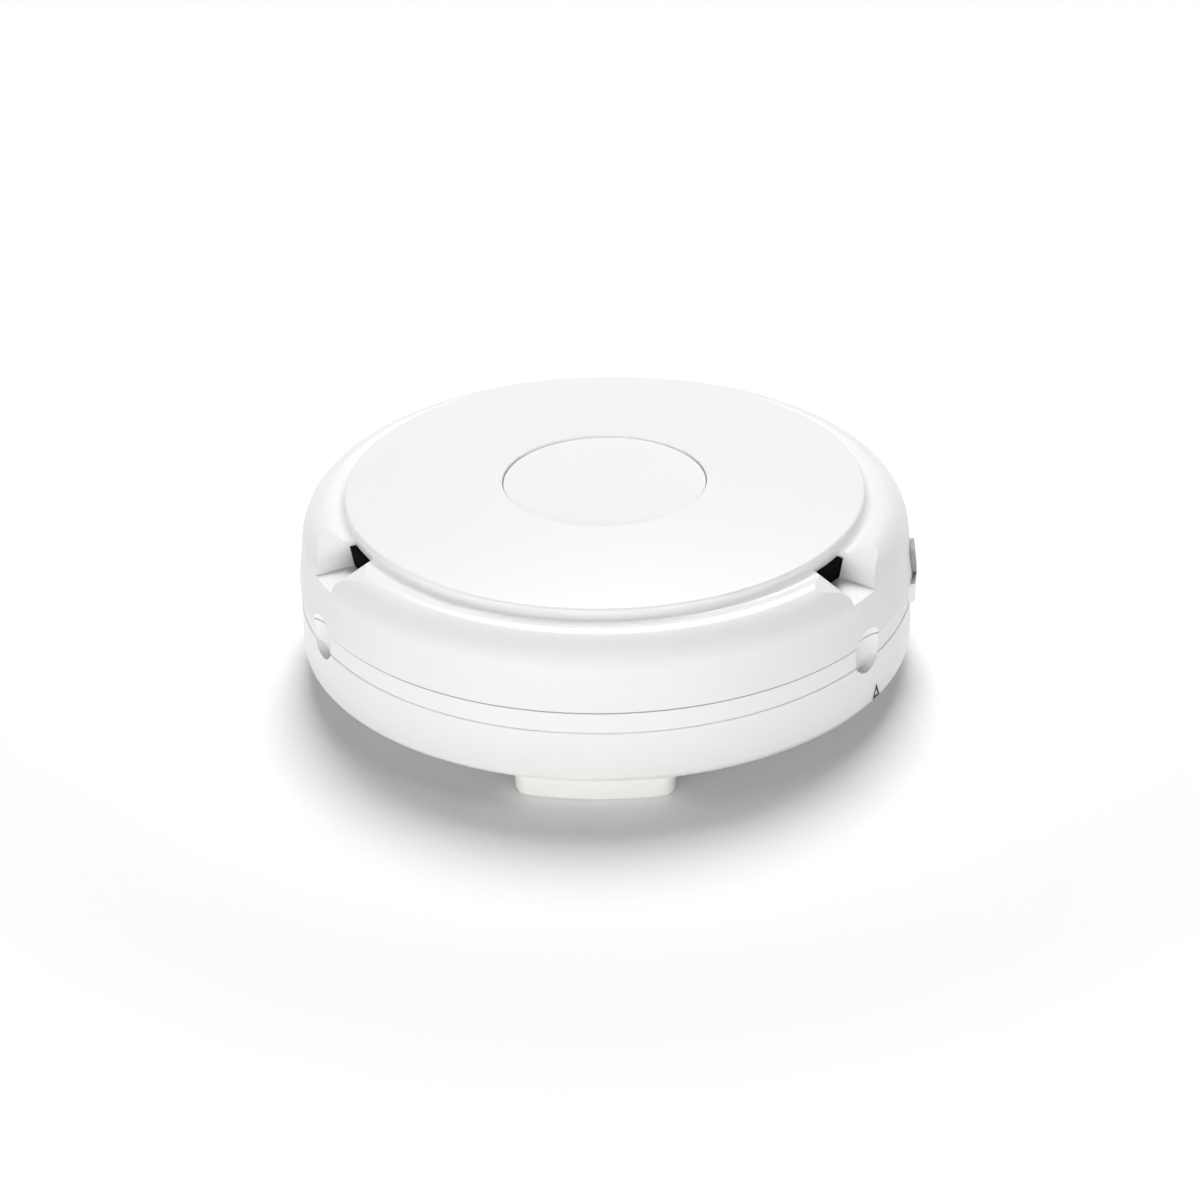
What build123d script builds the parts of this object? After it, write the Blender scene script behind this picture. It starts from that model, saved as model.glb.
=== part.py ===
"""Round battery water leak detector: a low white puck that stands on three sensing feet.

All lengths are in millimetres. The origin is on the puck's axis, at the height of the floor it stands on.
+Z is up and the front foot points to -Y. Azimuths are in degrees from -Y towards +X, so +X is at 90.
"""

import os
from math import asin, atan2, cos, degrees, pi, radians, sin

from build123d import *

# Overall form, from the floor up
foot_height = 3.5
base_height = 7.3
band_height = 2.95
lip_radius = 41.0
band_step = 0.2
base_step = 0.1
base_edge = 1.0
wall = 1.8
floor_thickness = 1.6
edge_break = 0.25
seam_break = 0.1

# Top of the cover: slightly domed plateau, sunken channel round it, and a bulging shoulder down to the lip
plateau_sag = 1.0
plateau_edge = 0.35
channel_depth = 2.65
channel_fillet = 1.1
channel_width = 2.5
crest_depth = 2.4
shoulder_width = 3.4
shoulder_height = 5.0
shoulder_curve = 2.6
wall_lean = 0.6

# Three sound inlets cut into the shoulder, and the three thumb scoops below them
feature_azimuths = (60, 180, 300)
notch_width = 5.3
notch_floor_depth = 5.95
notch_fall = 0.05
notch_gap = 0.1
notch_wall = 1.5
flare_start_depth = 4.1
flare_fall = 0.45
flare_width = 5.4
flare_height = 2.9
window_width = 5.1
window_height = 2.95
window_sill = 0.05
mesh_gap = 0.05
mesh_lean = 0.5
scoop_radius = 5.1
scoop_depth = 1.15
scoop_below_lip = 1.4
pocket_radius = 3.15
pocket_depth = 1.3

# Push button in the middle of the plateau
button_radius = 13.45
button_gap = 0.12
button_sink = 0.45
button_skin = 1.2
button_flange_width = 1.35
button_flange_height = 0.8
button_boss_radius = 2.6
button_rib = 1.0
button_travel = 0.5
roof_flat_margin = 3.2
guide_width = 2.0
guide_gap = 0.1
guide_start = 0.5
guide_length = 1.6
guide_height = 1.6

# Chassis: the ring that shows as a band, its neck inside the base, and the deck for the board
neck_wall = 2.4
neck_floor_gap = 0.6
neck_gap = 0.5
spigot_wall = 1.7
spigot_gap = 0.08
deck_thickness = 1.4
deck_inlet_gap = 0.5
rib_thickness = 1.2
rib_depth = 5.4
rib_azimuths = (30, 150, 210, 330)

# Twist lock: a lug on the base runs down a sloping slot in the neck
lug_azimuths = (30, 150, 270)
lug_length = 4.0
lug_height = 1.4
lug_reach = 1.75
lug_rise = 0.45
lock_twist = 24.0
lock_drop = 2.6
slot_gap = 0.2
slot_end_gap = 0.3

# Seal ring in its groove in the neck
seal_section = 0.7
seal_corner = 0.4
seal_wall_gap = 0.04
seal_groove_gap = 0.06
seal_end_gap = 0.1
seal_below_band = 1.1

# Circuit board and what stands on it
board_thickness = 1.2
board_edge_gap = 0.9
standoff_height = 0.8
switch_size = 6.2
switch_height = 2.9
plunger_radius = 1.75
plunger_gap = 0.05
plunger_depth = 1.0
radio_size = (14.0, 12.0, 2.2)
radio_place = (14.5, 7.0)
shield_step = 0.5
chip_size = 7.0
chip_height = 0.9
chip_place = (-4.0, 18.5)
led_size = (2.8, 1.4, 0.8)
led_place = (0.0, -9.0)
buzzer_radius = 6.0
buzzer_roof_gap = 0.05
buzzer_hole = 1.1
buzzer_place = (-21.6, -2.0)
antenna_inset = 2.4
antenna_thickness = 0.5
antenna_height = 1.6
antenna_rise = 1.2
antenna_azimuths = (70, 106)

# Fasteners
screw_hold_gap = 0.02
board_screw_radius = 0.9
board_screw_head = (1.8, 1.3)
board_screw_length = 4.2
board_screw_inset = 3.3
board_boss_radius = 2.2
board_boss_depth = 3.6
cover_screw_radius = 1.05
cover_screw_head = (1.9, 1.5)
cover_screw_length = 6.0
cover_screw_inset = 2.7
cover_screw_azimuths = (0, 120, 240)
cover_boss_radius = 3.0
boss_board_gap = 0.3
deck_hole_gap = 0.15
drive_radius = 0.7
drive_depth = 0.6

# Two AAA cells side by side, in a bay that opens downwards
cell_length = 44.5
cell_radius = 5.25
cell_side_gap = 0.8
cell_nub = (1.9, 0.9)
cell_edge = 0.6
cell_roof_gap = 0.2
cell_floor_gap = 0.25
bay_side_gap = 0.6
bay_wall = 1.3
bay_cell_show = 0.3
bay_divider = 0.6
bay_divider_depth = 2.6
contact_thickness = 0.4
contact_width = 7.0
contact_margin = 1.9
spring_reach = 4.1

# Side port for a remote probe, with its pull-out cover
port_azimuth = 90
port_above_lip = 1.85
port_radius = 1.45
port_plug_gap = 0.1
port_plug_length = 1.7
flap_width = 4.4
flap_height = 3.4
flap_corner = 0.9
flap_gap = 0.05
flap_thickness = 0.5
pad_width = 8.8
pad_gap = 0.1
jack_width = 6.0
jack_bay_gap = 1.87
jack_below_port = 1.9
jack_end_gap = 0.35
jack_bore = 1.25
jack_back_wall = 1.2
jack_slot_gap = 0.4

# Feet with two sensing pins each, and the stamped rings that join the pins inside the base
foot_turn = 2.3
foot_names = {foot_turn: "foot_front", 120 + foot_turn: "foot_right", 240 + foot_turn: "foot_left"}
foot_inset = 3.4
foot_width = 4.4
foot_half_angle = 12.4
foot_taper = 3.0
foot_edge = 1.0
tongue_width = 2.6
tongue_height = 0.8
tongue_gap = 0.05
pin_radius = 0.5
pin_gap = 0.02
pin_recess = 0.25
pin_offset = 8.0
outer_pin_shift = 0.9
inner_pin_shift = 0.9
ring_width = 1.3
ring_thickness = 0.3
finger_thickness = 0.3
finger_width = 2.6
finger_rest_gap = 0.1
finger_wall_gap = 0.25
finger_board_hold = 0.95
finger_slot_gap = 0.3
finger_azimuths = (194, 206)
stiffener_radii = (11.0, 21.0)
stiffener_width = 1.2
stiffener_height = 0.3

# Heights and radii that follow from the values above
base_bottom = foot_height
base_floor = base_bottom + floor_thickness
parting = base_bottom + base_height
lip = parting + band_height
inner_radius = lip_radius - wall
band_radius = lip_radius - band_step
base_radius = lip_radius - base_step

# The cells, the deck over them, the sound inlets over the deck and the walls between set the height
cell_pitch = 2 * cell_radius + cell_side_gap
deck_bottom = base_floor + stiffener_height + cell_floor_gap + 2 * cell_radius + cell_roof_gap
deck_top = deck_bottom + deck_thickness
notch_floor = deck_top + deck_inlet_gap + wall
total_height = notch_floor + notch_floor_depth
roof = total_height - wall
rim = total_height - plateau_sag
channel = total_height - channel_depth
crest = total_height - crest_depth
shoulder_start = crest - shoulder_height

# Outline of the top, from the lip inwards
shoulder_radius = lip_radius - wall_lean
crest_radius = shoulder_radius - shoulder_width
plateau_radius = crest_radius - channel_width
plateau_inner = plateau_radius - wall
plateau_flat = plateau_radius - plateau_edge
dome_radius = (plateau_flat**2 + plateau_sag**2) / (2 * plateau_sag)
side_curve = (shoulder_width**2 + shoulder_height**2 - 2 * shoulder_height * shoulder_curve) / (
    2 * (shoulder_width - shoulder_curve)
)
curve_turn = degrees(atan2(shoulder_height - shoulder_curve, side_curve - shoulder_width))
notch_end = plateau_radius + notch_gap
window_bottom = notch_floor + window_sill
flare_start = total_height - flare_start_depth
mesh_front = notch_end + mesh_gap + mesh_lean / 2
scoop_axis = lip_radius + scoop_radius - scoop_depth
scoop_middle = lip - scoop_below_lip

# Chassis, lock and seal
neck_radius = inner_radius - neck_gap
neck_inner = neck_radius - neck_wall
neck_bottom = base_floor + ring_thickness + neck_floor_gap
spigot_radius = inner_radius - spigot_gap
spigot_inner = spigot_radius - spigot_wall
lug_middle = neck_bottom + lug_rise + lug_height / 2
seal_height = parting - seal_below_band
seal_circle = inner_radius - seal_wall_gap - seal_section
groove_radius = seal_circle - seal_section - seal_groove_gap

# Button, board and cells
button_top = total_height - button_sink
button_bottom = roof - button_flange_height
flange_radius = button_radius + button_flange_width
roof_flat_radius = flange_radius + roof_flat_margin
board_bottom = deck_top + standoff_height
board_top = board_bottom + board_thickness
board_radius = plateau_inner - board_edge_gap
board_screw_circle = board_radius - board_screw_inset
cover_screw_circle = plateau_inner - cover_screw_inset
antenna_radius = board_radius - antenna_inset
buzzer_height = rim - wall - board_top - buzzer_roof_gap
cell_height = deck_bottom - cell_roof_gap - cell_radius
contact_height = 2 * cell_radius - contact_margin
bay_length = cell_length + contact_thickness + contact_thickness + spring_reach
bay_width = cell_pitch + 2 * cell_radius + 2 * bay_side_gap
bay_bottom = deck_bottom - cell_roof_gap - 2 * cell_radius + bay_cell_show

# Port, and feet with their pins
port_height = lip + port_above_lip
jack_front = spigot_inner - jack_end_gap
jack_back = bay_length / 2 + bay_wall + jack_bay_gap
foot_circle = base_radius - foot_inset
outer_pin_circle = foot_circle + outer_pin_shift
inner_pin_circle = foot_circle - inner_pin_shift


def radial_plane(azimuth, radius=0.0):
    """A plane across the radius at an azimuth: X runs round the puck, Y runs up, and the normal points out."""
    a = radians(azimuth)
    return Plane(
        origin=(radius * sin(a), -radius * cos(a), 0),
        x_dir=(cos(a), sin(a), 0),
        z_dir=(sin(a), -cos(a), 0),
    )


def section_plane(azimuth):
    """A plane that holds the puck's axis: X runs out along the radius, and Y runs up."""
    a = radians(azimuth)
    return Plane(origin=(0, 0, 0), x_dir=(sin(a), -cos(a), 0), z_dir=(-cos(a), -sin(a), 0))


def round_places(azimuths, radius):
    """Points on a circle round the axis, one for each azimuth."""
    return [(radius * sin(radians(a)), -radius * cos(radians(a))) for a in azimuths]


def wall_radius(height):
    """Radius of the cover's slightly tapered outer wall at a height above the lip."""
    return lip_radius - (lip_radius - shoulder_radius) * (height - lip) / (shoulder_start - lip)


def finish(piece, name):
    """Label a finished piece and write it to its own file."""
    piece.part.label = name
    export_step(piece.part, f"parts/{name}.step")


os.makedirs("parts", exist_ok=True)

def cut_scoops():
    """Take the three round thumb scoops out of the piece being built."""
    with Locations(*[(x, y, scoop_middle) for x, y in round_places(feature_azimuths, scoop_axis)]):
        Sphere(scoop_radius, mode=Mode.SUBTRACT)


# Tool for the three sound inlets: a straight channel out through the shoulder, whose sides flare into the
# surface above them. The flares start lower towards the outside, as the shoulder falls.
with BuildPart() as notch_tool:
    for azimuth in feature_azimuths:
        with BuildSketch(section_plane(azimuth)):
            with BuildLine():
                Polyline(
                    (notch_end - wall, notch_floor + notch_fall * wall),
                    (notch_end - wall, total_height),
                    (lip_radius + wall, total_height),
                    (lip_radius + wall, notch_floor - notch_fall * (lip_radius + wall - notch_end)),
                    close=True,
                )
            make_face()
        extrude(amount=notch_width / 2, both=True)
        with BuildSketch(radial_plane(azimuth, notch_end - wall)):
            with BuildLine():
                low = flare_start + flare_fall * wall
                Spline(
                    (notch_width / 2, low),
                    (notch_width / 2 + flare_width, low + flare_height),
                    tangents=((0, 1), (1, 0.25)),
                )
                Polyline(
                    (notch_width / 2 + flare_width, low + flare_height),
                    (notch_width / 2 + flare_width, 2 * total_height),
                    (notch_width / 2, 2 * total_height),
                    (notch_width / 2, low),
                )
            make_face()
            mirror(about=Plane.YZ)
        outward = (sin(radians(azimuth)), -cos(radians(azimuth)), -flare_fall)
        extrude(amount=lip_radius + 2 * wall - notch_end, dir=outward)
    with BuildSketch(Plane.XY):
        Circle(notch_end)
    extrude(amount=3 * total_height, mode=Mode.SUBTRACT)

# Hollow of the top cover, which leaves a floor and side walls round each sound inlet
with BuildPart() as cover_hollow:
    with BuildSketch(Plane.XZ):
        with BuildLine():
            Polyline(
                (0, lip),
                (0, roof),
                (roof_flat_radius, roof),
                (plateau_inner, rim - wall),
                (plateau_inner, channel - wall),
                (crest_radius - wall, channel - wall),
                (crest_radius, crest - wall),
                (
                    crest_radius + (shoulder_width - wall) * cos(pi / 4),
                    shoulder_start + (shoulder_height - wall) * sin(pi / 4),
                ),
                (shoulder_radius - wall, shoulder_start),
                (inner_radius, deck_top + edge_break),
                (inner_radius, lip),
                (0, lip),
            )
        make_face()
    revolve(axis=Axis.Z)
    for azimuth in feature_azimuths:
        with BuildSketch(radial_plane(azimuth, plateau_inner)):
            with Locations((0, (notch_floor - wall + total_height) / 2)):
                Rectangle(notch_width + 2 * notch_wall, total_height - notch_floor + wall)
        extrude(amount=lip_radius - plateau_inner, mode=Mode.SUBTRACT)

with BuildPart() as top_cover:
    with BuildSketch(Plane.XZ):
        with BuildLine():
            Line((0, lip), (0, total_height))
            CenterArc(
                (0, total_height - dome_radius),
                dome_radius,
                start_angle=90,
                arc_size=-degrees(asin(plateau_flat / dome_radius)),
            )
            CenterArc(
                (plateau_flat, rim - plateau_edge),
                plateau_edge,
                start_angle=90,
                arc_size=-90,
            )
            Line(
                (plateau_radius, rim - plateau_edge),
                (plateau_radius, channel + channel_fillet),
            )
            CenterArc(
                (plateau_radius + channel_fillet, channel + channel_fillet),
                channel_fillet,
                start_angle=180,
                arc_size=90,
            )
            Spline(
                (plateau_radius + channel_fillet, channel),
                (crest_radius, crest),
                tangents=((1, 0), (1, 0)),
            )
            CenterArc(
                (crest_radius, crest - shoulder_curve),
                shoulder_curve,
                start_angle=90,
                arc_size=curve_turn - 90,
            )
            CenterArc(
                (shoulder_radius - side_curve, shoulder_start),
                side_curve,
                start_angle=curve_turn,
                arc_size=-curve_turn,
            )
            Line((shoulder_radius, shoulder_start), (lip_radius, lip + seam_break))
            Line((lip_radius, lip + seam_break), (lip_radius - seam_break, lip))
            Line((lip_radius - seam_break, lip), (0, lip))
        make_face()
    revolve(axis=Axis.Z)
    add(cover_hollow.part, mode=Mode.SUBTRACT)
    # Opening for the button, with a broken edge
    with BuildSketch(Plane.XY.offset(roof)):
        Circle(button_radius + button_gap)
    extrude(amount=wall, mode=Mode.SUBTRACT)
    opening_edge = top_cover.edges().sort_by(Axis.Z)[-1]
    chamfer(opening_edge, length=seam_break)
    # Guides that stop the button from turning
    with BuildSketch(Plane.XY.offset(roof)) as guide_sketch:
        with PolarLocations(button_radius + guide_start + guide_length / 2, 3, start_angle=90):
            Rectangle(guide_length, guide_width)
    extrude(amount=-guide_height)
    # Bosses for the screws that come up through the chassis
    with BuildSketch(Plane.XY.offset(roof)):
        with Locations(*round_places(cover_screw_azimuths, cover_screw_circle)):
            Circle(cover_boss_radius)
    extrude(amount=deck_top - roof)
    with BuildSketch(Plane.XY.offset(deck_top)):
        with Locations(*round_places(cover_screw_azimuths, cover_screw_circle)):
            Circle(cover_screw_radius + screw_hold_gap)
    extrude(amount=cover_screw_length - deck_thickness + edge_break, mode=Mode.SUBTRACT)
    # Sound inlets, each with a window in from its inner end
    add(notch_tool.part, mode=Mode.SUBTRACT)
    for azimuth in feature_azimuths:
        with BuildSketch(radial_plane(azimuth, plateau_inner - wall)):
            with Locations((0, window_bottom + window_height / 2)):
                Rectangle(window_width, window_height)
        extrude(amount=notch_end - plateau_inner + wall, mode=Mode.SUBTRACT)
    # Side port
    with BuildSketch(radial_plane(port_azimuth, spigot_inner)):
        with Locations((0, port_height)):
            Circle(port_radius)
    extrude(amount=lip_radius - spigot_inner + wall, mode=Mode.SUBTRACT)
    cut_scoops()
finish(top_cover, "top_cover")

# Black acoustic mesh plugs that fill the three windows, each with a front that leans out over the floor
with BuildPart() as sound_meshes:
    for azimuth in feature_azimuths:
        with BuildSketch(section_plane(azimuth)):
            with BuildLine():
                Polyline(
                    (plateau_inner, window_bottom + mesh_gap),
                    (mesh_front, window_bottom + mesh_gap),
                    (mesh_front + mesh_lean, window_bottom + window_height - mesh_gap),
                    (plateau_inner, window_bottom + window_height - mesh_gap),
                    close=True,
                )
            make_face()
        extrude(amount=window_width / 2 - mesh_gap, both=True)
finish(sound_meshes, "sound_meshes")

with BuildPart() as test_button:
    with BuildSketch(Plane.XY.offset(button_bottom)):
        Circle(button_radius)
    extrude(amount=button_top - button_bottom)
    chamfer(test_button.edges().group_by(Axis.Z)[-1], length=seam_break)
    with BuildSketch(Plane.XY.offset(button_bottom)):
        Circle(flange_radius)
        with PolarLocations(flange_radius, 3, start_angle=90):
            Rectangle(2 * button_flange_width, guide_width + 2 * guide_gap, mode=Mode.SUBTRACT)
    extrude(amount=button_flange_height)
    # The underside is hollow, with ribs from the rim to the boss over the switch
    with BuildSketch(Plane.XY.offset(button_bottom)):
        Circle(button_radius - button_skin)
        Circle(button_boss_radius, mode=Mode.SUBTRACT)
        with PolarLocations(0, 3, start_angle=30):
            Rectangle(2 * button_radius, button_rib, mode=Mode.SUBTRACT)
    extrude(amount=button_top - button_bottom - button_skin, mode=Mode.SUBTRACT)
finish(test_button, "test_button")

# Tool for the slots of the twist lock: each slopes down through the lug's path, and its floor is round
slot_run = neck_radius * sin(radians(lock_twist / 2))
slot_slope = lock_drop / 2 / slot_run
slot_half = slot_run + lug_length / 2 + slot_end_gap
slot_floor = inner_radius - lug_reach - slot_end_gap
with BuildPart() as slot_tool:
    for azimuth in lug_azimuths:
        with BuildSketch(radial_plane(azimuth - lock_twist / 2, slot_floor - wall)):
            with BuildLine():
                Polyline(
                    *[
                        (
                            side * slot_half,
                            lug_middle
                            + (side * slot_half - slot_run) * slot_slope
                            + edge * (lug_height / 2 + slot_gap),
                        )
                        for side, edge in ((-1, -1), (1, -1), (1, 1), (-1, 1))
                    ],
                    close=True,
                )
            make_face()
        extrude(amount=lip_radius - slot_floor)
    with BuildSketch(Plane.XY):
        Circle(slot_floor)
    extrude(amount=total_height, mode=Mode.SUBTRACT)

with BuildPart() as chassis:
    # Neck, band and spigot in one turned profile, with the groove for the seal
    with BuildSketch(Plane.XZ):
        with BuildLine():
            Polyline(
                (neck_inner, neck_bottom),
                (neck_radius, neck_bottom),
                (neck_radius, parting),
                (band_radius - seam_break, parting),
                (band_radius, parting + seam_break),
                (band_radius, lip - band_step),
                (band_radius - band_step, lip),
                (spigot_radius, lip),
                (spigot_radius, deck_top - edge_break),
                (spigot_radius - edge_break, deck_top),
                (0, deck_top),
                (0, deck_bottom),
                (spigot_inner, deck_bottom),
                (spigot_inner, lip),
                (neck_inner, lip - neck_wall / 2),
                close=True,
            )
        make_face()
        with Locations((neck_radius, seal_height)):
            Rectangle(
                2 * (neck_radius - groove_radius),
                2 * (seal_section + seal_end_gap),
                mode=Mode.SUBTRACT,
            )
    revolve(axis=Axis.Z)
    # Battery bay under the deck
    with BuildSketch(Plane.XY.offset(bay_bottom)):
        Rectangle(bay_length + 2 * bay_wall, bay_width + 2 * bay_wall)
        Rectangle(bay_length, bay_width, mode=Mode.SUBTRACT)
    extrude(amount=deck_bottom - bay_bottom)
    with BuildSketch(Plane.XY.offset(deck_bottom - bay_divider_depth)):
        Rectangle(bay_length, bay_divider)
    extrude(amount=bay_divider_depth)
    # Ribs from the bay to the ring
    for azimuth in rib_azimuths:
        rib_start = (bay_width / 2 + bay_wall / 2) / abs(cos(radians(azimuth)))
        with BuildSketch(radial_plane(azimuth, rib_start)):
            with Locations((0, deck_bottom - rib_depth / 2)):
                Rectangle(rib_thickness, rib_depth)
        extrude(amount=neck_inner + neck_wall / 4 - rib_start)
    with BuildSketch(radial_plane(270, bay_length / 2 + bay_wall / 2)):
        with Locations((0, deck_bottom - rib_depth / 2)):
            Rectangle(rib_thickness, rib_depth)
    extrude(amount=neck_inner + neck_wall / 4 - bay_length / 2 - bay_wall / 2)
    # Bosses that carry the board
    with BuildSketch(Plane.XY.offset(deck_bottom - board_boss_depth)):
        with Locations(*round_places(feature_azimuths, board_screw_circle)):
            Circle(board_boss_radius)
    extrude(amount=board_boss_depth + deck_thickness + standoff_height)
    with BuildSketch(Plane.XY.offset(board_bottom)):
        with Locations(*round_places(feature_azimuths, board_screw_circle)):
            Circle(board_screw_radius + screw_hold_gap)
    extrude(amount=-board_screw_length, mode=Mode.SUBTRACT)
    # Clearance holes for the cover screws
    with BuildSketch(Plane.XY.offset(deck_bottom)):
        with Locations(*round_places(cover_screw_azimuths, cover_screw_circle)):
            Circle(cover_screw_radius + deck_hole_gap)
    extrude(amount=deck_thickness, mode=Mode.SUBTRACT)
    # Sloping slots of the twist lock
    add(slot_tool.part, mode=Mode.SUBTRACT)
    # Side port, and room in the deck for its socket and for the two contact fingers
    with BuildSketch(radial_plane(port_azimuth, spigot_inner - wall)):
        with Locations((0, port_height)):
            Circle(port_radius)
    extrude(amount=lip_radius - spigot_inner + wall, mode=Mode.SUBTRACT)
    with BuildSketch(Plane.XY.offset(deck_bottom)):
        with Locations(((jack_front + jack_back) / 2, 0)):
            Rectangle(jack_front - jack_back + 2 * jack_slot_gap, jack_width + 2 * jack_slot_gap)
    extrude(amount=deck_thickness, mode=Mode.SUBTRACT)
    for azimuth in finger_azimuths:
        with BuildSketch(radial_plane(azimuth, neck_inner - finger_wall_gap - finger_thickness - finger_slot_gap)):
            with Locations((0, deck_bottom + deck_thickness / 2)):
                Rectangle(finger_width + 2 * finger_slot_gap, deck_thickness)
        extrude(amount=finger_thickness + 2 * finger_slot_gap, mode=Mode.SUBTRACT)
    cut_scoops()
    # Raised pad on the band, under the port cover
    with BuildSketch(Plane.XY.offset(parting + pad_gap)):
        Circle(lip_radius + flap_gap + flap_thickness)
        Circle(neck_radius, mode=Mode.SUBTRACT)
        with Locations((lip_radius, 0)):
            Rectangle(2 * (lip_radius - neck_radius), pad_width, mode=Mode.INTERSECT)
    extrude(amount=band_height - 2 * pad_gap)
finish(chassis, "chassis")

with BuildPart() as seal_ring:
    with BuildSketch(Plane.XZ) as seal_sketch:
        with Locations((seal_circle, seal_height)):
            Rectangle(2 * seal_section, 2 * seal_section)
        chamfer(seal_sketch.vertices(), length=seal_corner)
    revolve(axis=Axis.Z)
finish(seal_ring, "seal_ring")

with BuildPart() as base_cover:
    with BuildSketch(Plane.XZ):
        with BuildLine():
            Polyline(
                (0, base_bottom),
                (base_radius - base_edge, base_bottom),
            )
            CenterArc((base_radius - base_edge, base_bottom + base_edge), base_edge, start_angle=-90, arc_size=90)
            Polyline(
                (base_radius, base_bottom + base_edge),
                (base_radius, parting - seam_break),
                (base_radius - seam_break, parting),
                (inner_radius, parting),
                (inner_radius, base_floor),
                (0, base_floor),
                (0, base_bottom),
            )
        make_face()
    revolve(axis=Axis.Z)
    # Stiffening rings on the floor
    with BuildSketch(Plane.XY.offset(base_floor)):
        for radius in stiffener_radii:
            Circle(radius + stiffener_width / 2)
            Circle(radius - stiffener_width / 2, mode=Mode.SUBTRACT)
    extrude(amount=stiffener_height)
    # Lugs of the twist lock
    for azimuth in lug_azimuths:
        with BuildSketch(radial_plane(azimuth, inner_radius - lug_reach)):
            with BuildLine():
                Polyline(
                    *[
                        (
                            side * lug_length / 2,
                            lug_middle + side * lug_length / 2 * slot_slope + edge * lug_height / 2,
                        )
                        for side, edge in ((-1, -1), (1, -1), (1, 1), (-1, 1))
                    ],
                    close=True,
                )
            make_face()
        extrude(amount=lug_reach + wall / 4)
    # Grooves for the feet, and holes for their pins
    for azimuth in foot_names:
        with BuildSketch(Plane.XY.offset(base_bottom)):
            with BuildLine(mode=Mode.PRIVATE) as groove_line:
                CenterArc((0, 0), foot_circle, azimuth - 90 - foot_half_angle, 2 * foot_half_angle)
            SlotArc(groove_line.edges()[0], tongue_width + 2 * tongue_gap)
        extrude(amount=tongue_height + tongue_gap, mode=Mode.SUBTRACT)
        with BuildSketch(Plane.XY.offset(base_bottom)):
            with Locations(
                *round_places((azimuth - pin_offset,), outer_pin_circle),
                *round_places((azimuth + pin_offset,), inner_pin_circle),
            ):
                Circle(pin_radius + pin_gap)
        extrude(amount=base_floor - base_bottom, mode=Mode.SUBTRACT)
    # Finger pockets under the scoops, with an upright back
    for azimuth in feature_azimuths:
        with BuildSketch(radial_plane(azimuth, base_radius - pocket_depth)):
            with Locations((0, scoop_middle)):
                Circle(pocket_radius)
        extrude(amount=wall, mode=Mode.SUBTRACT)
finish(base_cover, "base_cover")

for azimuth, foot_name in foot_names.items():
    with BuildPart() as foot:
        # The pad tapers towards the floor, so its sketch faces down: there, angles run the other way
        with BuildSketch(Plane(origin=(0, 0, base_bottom), x_dir=(1, 0, 0), z_dir=(0, 0, -1))):
            with BuildLine(mode=Mode.PRIVATE) as pad_line:
                CenterArc((0, 0), foot_circle, 90 - azimuth - foot_half_angle, 2 * foot_half_angle)
            SlotArc(pad_line.edges()[0], foot_width)
        extrude(amount=foot_height, taper=foot_taper)
        fillet(foot.faces().sort_by(Axis.Z)[0].edges(), radius=foot_edge)
        with BuildSketch(Plane.XY.offset(base_bottom)):
            with BuildLine(mode=Mode.PRIVATE) as tongue_line:
                CenterArc((0, 0), foot_circle, azimuth - 90 - foot_half_angle, 2 * foot_half_angle)
            SlotArc(tongue_line.edges()[0], tongue_width)
        extrude(amount=tongue_height)
        with BuildSketch(Plane.XY):
            with Locations(
                *round_places((azimuth - pin_offset,), outer_pin_circle),
                *round_places((azimuth + pin_offset,), inner_pin_circle),
            ):
                Circle(pin_radius + pin_gap)
        extrude(amount=base_floor, mode=Mode.SUBTRACT)
    finish(foot, foot_name)

with BuildPart() as probe_pins:
    with BuildSketch(Plane.XY.offset(pin_recess)):
        with Locations(
            *round_places([a - pin_offset for a in foot_names], outer_pin_circle),
            *round_places([a + pin_offset for a in foot_names], inner_pin_circle),
        ):
            Circle(pin_radius)
    extrude(amount=base_floor + ring_thickness - pin_recess)
finish(probe_pins, "probe_pins")

for ring_name, circle, offset_sign in (
    ("probe_ring_outer", outer_pin_circle, -1),
    ("probe_ring_inner", inner_pin_circle, 1),
):
    with BuildPart() as ring:
        with BuildSketch(Plane.XY.offset(base_floor)):
            Circle(circle + ring_width / 2)
            Circle(circle - ring_width / 2, mode=Mode.SUBTRACT)
            with Locations(*round_places([a + offset_sign * pin_offset for a in foot_names], circle)):
                Circle(pin_radius + pin_gap, mode=Mode.SUBTRACT)
        extrude(amount=ring_thickness)
    finish(ring, ring_name)

# Bent strips that lead from the rings in the base up to the board
with BuildPart() as contact_fingers:
    finger_leg = neck_inner - finger_wall_gap
    finger_bottom = base_floor + ring_thickness + finger_rest_gap
    finger_end = board_radius - finger_board_hold
    for azimuth, reach in zip(finger_azimuths, (outer_pin_circle, inner_pin_circle)):
        with BuildSketch(section_plane(azimuth)):
            with BuildLine():
                Polyline(
                    (reach + finger_thickness, finger_bottom),
                    (finger_leg - finger_thickness, finger_bottom),
                    (finger_leg - finger_thickness, board_bottom - finger_thickness),
                    (finger_end, board_bottom - finger_thickness),
                    (finger_end, board_bottom),
                    (finger_leg, board_bottom),
                    (finger_leg, finger_bottom + finger_thickness),
                    (reach + finger_thickness, finger_bottom + finger_thickness),
                    close=True,
                )
            make_face()
        extrude(amount=finger_width / 2, both=True)
finish(contact_fingers, "contact_fingers")

with BuildPart() as circuit_board:
    with BuildSketch(Plane.XY.offset(board_bottom)):
        Circle(board_radius)
        with Locations(*round_places(cover_screw_azimuths, cover_screw_circle)):
            Circle(cover_boss_radius + boss_board_gap, mode=Mode.SUBTRACT)
        with Locations(*round_places(feature_azimuths, board_screw_circle)):
            Circle(board_screw_radius + deck_hole_gap, mode=Mode.SUBTRACT)
    extrude(amount=board_thickness)
finish(circuit_board, "circuit_board")

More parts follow.
